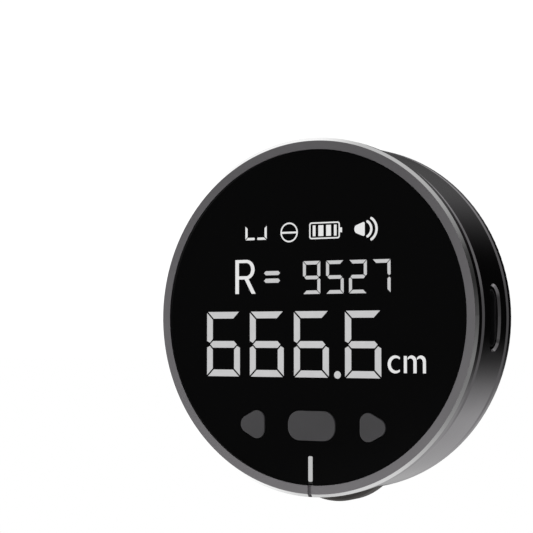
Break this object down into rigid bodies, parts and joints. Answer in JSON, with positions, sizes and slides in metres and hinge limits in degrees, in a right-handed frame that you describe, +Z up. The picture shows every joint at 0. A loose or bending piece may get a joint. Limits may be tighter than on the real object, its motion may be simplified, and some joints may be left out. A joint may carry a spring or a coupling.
{
  "type": "rolling digital ruler",
  "caption": "Round palm-sized digital ruler that stands on a measuring wheel, with a glass display face, sprung keys and a charging port in its side.",
  "frame": {"origin": "under the measuring wheel, on the surface that it stands on, in the middle of the puck's depth", "axes": "+X to the right seen from the display side, towards the charging port; +Y from the display to the rear cover, along the wheel's axle; +Z up"},
  "size_m": [0.0566, 0.015, 0.058],
  "materials": {
    "bezel_metal": "finely blasted face, polished chamfer, dark grey",
    "band_metal": "turned and polished, dark grey anodising",
    "lens_glass": "gloss black, back printed",
    "key_plastic": "fine satin, dark grey",
    "tyre_rubber": "matt, finely turned round its edge",
    "pad_rubber": "matt, fine texture",
    "seal_rubber": "matt black",
    "screw_steel": "black zinc",
    "socket_steel": "black nickel",
    "bright_steel": "plain bright",
    "bush_bronze": "sintered bronze",
    "washer_plastic": "white, low friction",
    "hub_plastic": "black acetal",
    "magnet_ferrite": "dark grey ferrite",
    "display_glass": "clear, thin",
    "display_film": "neutral polarising film",
    "light_guide": "clear acrylic",
    "frame_white": "white, reflective",
    "chassis_plastic": "black moulded",
    "board_laminate": "green solder mask",
    "chip_black": "black epoxy",
    "part_ceramic": "tan ceramic",
    "battery_foil": "silver laminate pouch",
    "tape_foam": "white double-sided foam",
    "lead_sleeve": "soft plastic sleeve"
  },
  "bodies": {
    "housing": {"bezel_ring": "bezel_metal", "front_lens": "lens_glass", "lens_adhesive": "tape_foam", "switch_body_left": "chip_black", "switch_body_centre": "chip_black", "switch_body_right": "chip_black", "lcd_front_polarizer": "display_film", "lcd_front_glass": "display_glass", "lcd_rear_glass": "display_glass", "lcd_rear_polarizer": "display_film", "lcd_light_guide": "light_guide", "lcd_backlight_frame": "frame_white", "lcd_zebra_strip": "seal_rubber", "backlight_leds": "washer_plastic", "main_pcb": "board_laminate", "mcu_chip": "chip_black", "charge_chip": "chip_black", "crystal": "bright_steel", "chip_capacitors": "part_ceramic", "chip_resistors": "chip_black", "hall_sensors": "chip_black", "buzzer": "chip_black", "battery_connector": "washer_plastic", "battery_leads": "lead_sleeve", "battery_cell": "battery_foil", "battery_tape": "tape_foam", "usb_shell": "socket_steel", "usb_tongue": "chip_black", "chassis": "chassis_plastic", "pcb_screws": "bright_steel", "axle_bracket": "bright_steel", "bush_front": "bush_bronze", "bush_rear": "bush_bronze", "thrust_washers": "washer_plastic", "mid_body": "band_metal", "rear_gasket": "seal_rubber", "rear_cover": "band_metal", "cover_screws": "screw_steel", "rear_pad": "pad_rubber"},
    "wheel": {"wheel_axle": "bright_steel", "wheel_hub": "hub_plastic", "encoder_magnet": "magnet_ferrite", "wheel_tyre": "tyre_rubber"},
    "left_key": {"key_left": "key_plastic", "switch_plunger_left": "washer_plastic"},
    "centre_key": {"key_centre": "key_plastic", "switch_plunger_centre": "washer_plastic"},
    "right_key": {"key_right": "key_plastic", "switch_plunger_right": "washer_plastic"}
  },
  "joints": [
    {"name": "wheel_spin", "type": "hinge", "parent": "housing", "child": "wheel", "pos_m": [0, 0.00245, 0.01114], "axis": [0, 1, 0], "continuous": true},
    {"name": "left_key_press", "type": "slide", "parent": "housing", "child": "left_key", "axis": [0, 1, 0], "range_m": [0, 0.0004], "stiffness_N_per_m": 2500, "springref_m": -0.0001},
    {"name": "centre_key_press", "type": "slide", "parent": "housing", "child": "centre_key", "axis": [0, 1, 0], "range_m": [0, 0.0004], "stiffness_N_per_m": 2500, "springref_m": -0.0001},
    {"name": "right_key_press", "type": "slide", "parent": "housing", "child": "right_key", "axis": [0, 1, 0], "range_m": [0, 0.0004], "stiffness_N_per_m": 2500, "springref_m": -0.0001}
  ]
}
